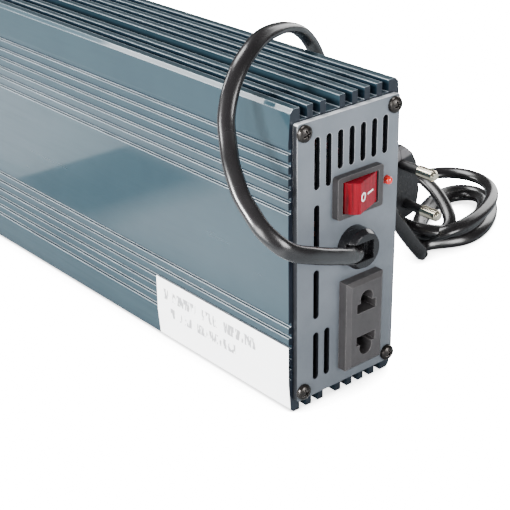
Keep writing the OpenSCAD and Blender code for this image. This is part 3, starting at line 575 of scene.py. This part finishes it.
def make_cord():
    """The whole flat cord as one tube; its flat side turns as the cord goes over the body."""
    path = cord_path()
    points = []
    along = 0.0
    last = None
    for i, here in enumerate(path):
        if i:
            along += (here - path[i - 1]).length
        tangent = (path[min(i + 1, len(path) - 1)] - path[max(i - 1, 0)]).normalized()
        lift = blended(CORD_TURNS, along)[0]
        facing = VIEW_BACK * (1 - lift) + Vector((0, 0, 1)) * lift
        wide = tangent.cross(facing).normalized()
        if last is not None and wide.dot(last) < 0:
            wide = -wide
        last = wide
        thin = tangent.cross(wide)
        for k in range(CORD_SIDES):
            angle = 2 * math.pi * k / CORD_SIDES
            across, out = rounded_box(angle, CORD_WIDE / 2, CORD_THICK / 2, 0.85, 0.9)
            point = here + (wide * across + thin * out) / 1000
            point.z = max(point.z, LOWEST_SKIN)
            points.append(point)
    cord = new_piece("mains_cord_flex", points, tube_faces(len(path), CORD_SIDES), "cord_jacket", "case")
    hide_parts("mains_cord", "cord_hank", "cord_lead")
    return cord, path, along


CORD, CORD_PATH, CORD_LENGTH = make_cord()


# ---------------------------------------------------------------- stage and light
FLOOR_HALF = 3.0  # half of the floor's width, in metres
FLOOR_Z = -0.0002
SEEN_GLOW = 34.0  # strength of the white that the camera sees behind the object
WORLD_GLOW = 0.16  # strength of the light that the surroundings give
# A dark patch of the floor that shows only mirrored, a painted dark reflection on the object: axis, where
# it starts, where it is full
DARK_PATCH = (("X", -0.145, -0.13), ("X", -0.064, -0.07), ("Y", 0.035, 0.065), ("Y", 0.122, 0.117))


def make_stage():
    """A white floor with a painted soft contact shadow; reflections see it darker beside the object,
    painted dark reflections.
    """
    mesh = bpy.data.meshes.new("floor")
    corners = [(x * FLOOR_HALF, y * FLOOR_HALF, FLOOR_Z) for x, y in ((-1, -1), (1, -1), (1, 1), (-1, 1))]
    mesh.from_pydata(corners, [], [(0, 1, 2, 3)])
    floor = bpy.data.objects.new("floor", mesh)
    bpy.context.scene.collection.objects.link(floor)
    s = Shader("floor_white")
    rays = s.node("ShaderNodeLightPath")
    place = s.place()
    mirrored = rays.outputs["Is Glossy Ray"]
    patch = s.product(mirrored, *(s.spread(place[axis], start, full) for axis, start, full in DARK_PATCH))
    # painted reflection: glossy rays see the floor darker far out and close beside the object
    far_out = s.spread(place["X"], -0.15, -0.162)
    close_by = s.spread(place["X"], -0.085, -0.05)
    shade = s.product(mirrored, s.math("MAXIMUM", far_out, close_by))
    plain = s.mix(shade, (0.72, 0.74, 0.76, 1), (0.3, 0.33, 0.35, 1))
    s.feed(s.bsdf.inputs["Base Color"], s.mix(patch, plain, (0.04, 0.05, 0.06, 1)))
    s.bsdf.inputs["Roughness"].default_value = 0.9
    # painted shadow: ambient occlusion dims the glow that the camera sees near the object
    contact = s.node("ShaderNodeAmbientOcclusion", samples=8)
    contact.inputs["Distance"].default_value = 0.03
    glow = s.node("ShaderNodeEmission")
    s.link(s.spread(contact.outputs["AO"], 0.3, 0.9, 3.0, SEEN_GLOW), glow.inputs["Strength"])
    mixed = s.node("ShaderNodeMixShader")
    s.link(rays.outputs["Is Camera Ray"], mixed.inputs[0])
    s.link(s.bsdf.outputs[0], mixed.inputs[1])
    s.link(glow.outputs[0], mixed.inputs[2])
    s.link(mixed.outputs[0], s.tree.nodes["Material Output"].inputs["Surface"])
    mesh.materials.append(s.material)


def make_world():
    """Bright white to the camera, and a faint even light to everything else."""
    world = bpy.data.worlds.new("studio")
    bpy.context.scene.world = world
    world.use_nodes = True
    tree = world.node_tree
    back = tree.nodes["Background"]
    rays = tree.nodes.new("ShaderNodeLightPath")
    spread = tree.nodes.new("ShaderNodeMapRange")
    tree.links.new(rays.outputs["Is Camera Ray"], spread.inputs["Value"])
    spread.inputs["To Min"].default_value = WORLD_GLOW
    spread.inputs["To Max"].default_value = SEEN_GLOW
    back.inputs["Color"].default_value = (1, 1, 1, 1)
    tree.links.new(spread.outputs["Result"], back.inputs["Strength"])


def add_light(name, place, aim, size, power):
    """A rectangular light at a place in metres, turned to an aim; its power is in watts."""
    data = bpy.data.lights.new(name, "AREA")
    data.shape = "RECTANGLE"
    data.size, data.size_y = size
    data.energy = power
    light = bpy.data.objects.new(name, data)
    bpy.context.scene.collection.objects.link(light)
    light.location = place
    light.rotation_mode = "QUATERNION"
    light.rotation_quaternion = (Vector(aim) - Vector(place)).to_track_quat("-Z", "Y")


make_stage()
make_world()
add_light("key", (-1.15, 0.15, 0.5), (0, 0, 0.06), (0.25, 0.25), 44)
add_light("left", (-1.25, -0.55, 0.35), (0, 0, 0.06), (0.7, 0.7), 32)
add_light("right", (1.3, 0.3, 0.5), (0, 0, 0.06), (0.8, 0.8), 12)
add_light("edges", (-0.6, 0.95, 0.85), (0, 0, 0.1), (0.45, 0.45), 12)
add_light("front", (0.2, -1.3, 0.45), (0, -0.1, 0.06), (0.6, 0.5), 22)
add_light("top", (0.0, 0.35, 1.2), (0, 0, 0.1), (0.6, 0.6), 20)
